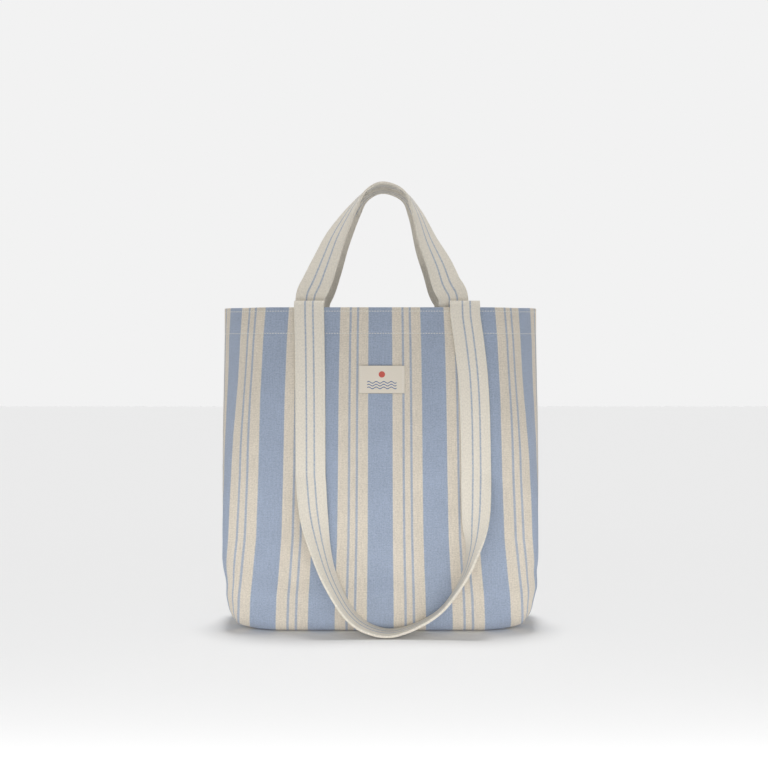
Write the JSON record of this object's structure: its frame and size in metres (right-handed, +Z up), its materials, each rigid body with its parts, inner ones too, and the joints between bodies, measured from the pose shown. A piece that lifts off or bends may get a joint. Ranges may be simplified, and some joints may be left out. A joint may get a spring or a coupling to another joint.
{
  "type": "tote bag",
  "caption": "Striped canvas tote bag with boxed base corners, short hand handles and long shoulder straps that fold over the rim and hang in a loop.",
  "frame": {"origin": "on the surface the bag stands on, under the middle of its base", "axes": "+Z up, the labelled front faces -Y, +X along the bag's width to the right seen from the front"},
  "size_m": [0.4178, 0.2006, 0.5775],
  "materials": {
    "striped_canvas": "plain-weave canvas, woven blue and cream stripes",
    "strap_canvas": "folded canvas, cream with thin blue lines",
    "seam_binding": "cotton tape",
    "label_cloth": "fine woven cloth with a plain printed motif",
    "thread": "cotton sewing thread"
  },
  "bodies": {
    "root": {"front_panel": "striped_canvas", "back_panel": "striped_canvas", "front_hem_facing": "striped_canvas", "back_hem_facing": "striped_canvas", "front_hem_upper_stitching": "thread", "back_hem_upper_stitching": "thread", "front_hem_lower_stitching": "thread", "back_hem_lower_stitching": "thread", "label_left_stitching": "thread", "label_right_stitching": "thread", "left_side_seam": "seam_binding", "right_side_seam": "seam_binding", "left_corner_seam": "seam_binding", "right_corner_seam": "seam_binding", "bottom_seam": "seam_binding", "label": "label_cloth", "front_handle_left_end": "strap_canvas", "front_handle_right_end": "strap_canvas", "front_strap_left_end": "strap_canvas", "front_strap_right_end": "strap_canvas", "front_strap_left_fold": "strap_canvas", "front_strap_right_fold": "strap_canvas", "back_handle_left_end": "strap_canvas", "back_handle_right_end": "strap_canvas", "back_strap_left_end": "strap_canvas", "back_strap_right_end": "strap_canvas", "back_strap_left_fold": "strap_canvas", "back_strap_right_fold": "strap_canvas"},
    "front_handle": {"front_short_handle": "strap_canvas"},
    "front_strap": {"front_strap_left_leg": "strap_canvas", "front_strap_right_leg": "strap_canvas"},
    "front_loop": {"front_strap_loop": "strap_canvas"},
    "back_handle": {"back_short_handle": "strap_canvas"},
    "back_strap": {"back_strap_left_leg": "strap_canvas", "back_strap_right_leg": "strap_canvas"},
    "back_loop": {"back_strap_loop": "strap_canvas"}
  },
  "joints": [
    {"name": "front_handle_swing", "type": "hinge", "parent": "root", "child": "front_handle", "pos_m": [0, -0.0552, 0.4245], "axis": [-1, 0, 0], "range_deg": [-105, 0]},
    {"name": "front_strap_swing", "type": "hinge", "parent": "root", "child": "front_strap", "pos_m": [0, -0.0621, 0.415], "axis": [-1, 0, 0], "range_deg": [0, 165], "deforming": ["front_strap_left_fold", "front_strap_right_fold"]},
    {"name": "front_strap_fold", "type": "hinge", "parent": "front_strap", "child": "front_loop", "pos_m": [0, -0.0695, 0.2], "axis": [1, 0, 0], "range_deg": [-120, 0]},
    {"name": "back_handle_swing", "type": "hinge", "parent": "root", "child": "back_handle", "pos_m": [0, 0.0552, 0.4245], "axis": [1, 0, 0], "range_deg": [-105, 0]},
    {"name": "back_strap_swing", "type": "hinge", "parent": "root", "child": "back_strap", "pos_m": [0, 0.0621, 0.415], "axis": [1, 0, 0], "range_deg": [0, 165], "deforming": ["back_strap_left_fold", "back_strap_right_fold"]},
    {"name": "back_strap_fold", "type": "hinge", "parent": "back_strap", "child": "back_loop", "pos_m": [0, 0.0695, 0.2], "axis": [-1, 0, 0], "range_deg": [-120, 0]}
  ]
}
